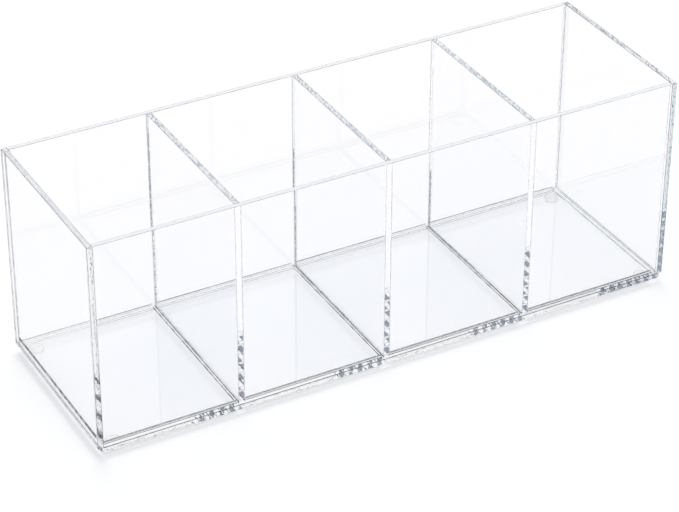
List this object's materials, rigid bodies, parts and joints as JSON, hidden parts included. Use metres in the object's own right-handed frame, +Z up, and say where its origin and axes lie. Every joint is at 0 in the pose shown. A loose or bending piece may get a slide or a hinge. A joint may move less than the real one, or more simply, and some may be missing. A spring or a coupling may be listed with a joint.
{
  "type": "acrylic organizer box",
  "caption": "Clear open-top acrylic organizer box with a row of compartments between butted cross dividers, standing on small clear bumper feet.",
  "frame": {"origin": "bottom centre of the box: on the table, under the middle of its length and width", "axes": "+X along the row of compartments, towards the right end seen from the front; the front panel faces -Y; +Z up"},
  "size_m": [0.32, 0.1, 0.117],
  "materials": {
    "base_sheet": "clear cast acrylic sheet, polished faces, cut edges",
    "end_sheet": "clear cast acrylic sheet, polished faces, cut edges",
    "long_sheet": "clear cast acrylic sheet, polished faces, cut edges",
    "divider_sheet": "clear cast acrylic sheet, polished faces, cut edges",
    "bumper_foot": "clear soft bumper pad, faint warm tint"
  },
  "bodies": {
    "root": {"base_panel": "base_sheet", "left_end_panel": "end_sheet", "right_end_panel": "end_sheet", "front_panel": "long_sheet", "back_panel": "long_sheet", "left_divider": "divider_sheet", "middle_divider": "divider_sheet", "right_divider": "divider_sheet", "front_left_foot": "bumper_foot", "front_right_foot": "bumper_foot", "back_left_foot": "bumper_foot", "back_right_foot": "bumper_foot"}
  },
  "joints": []
}
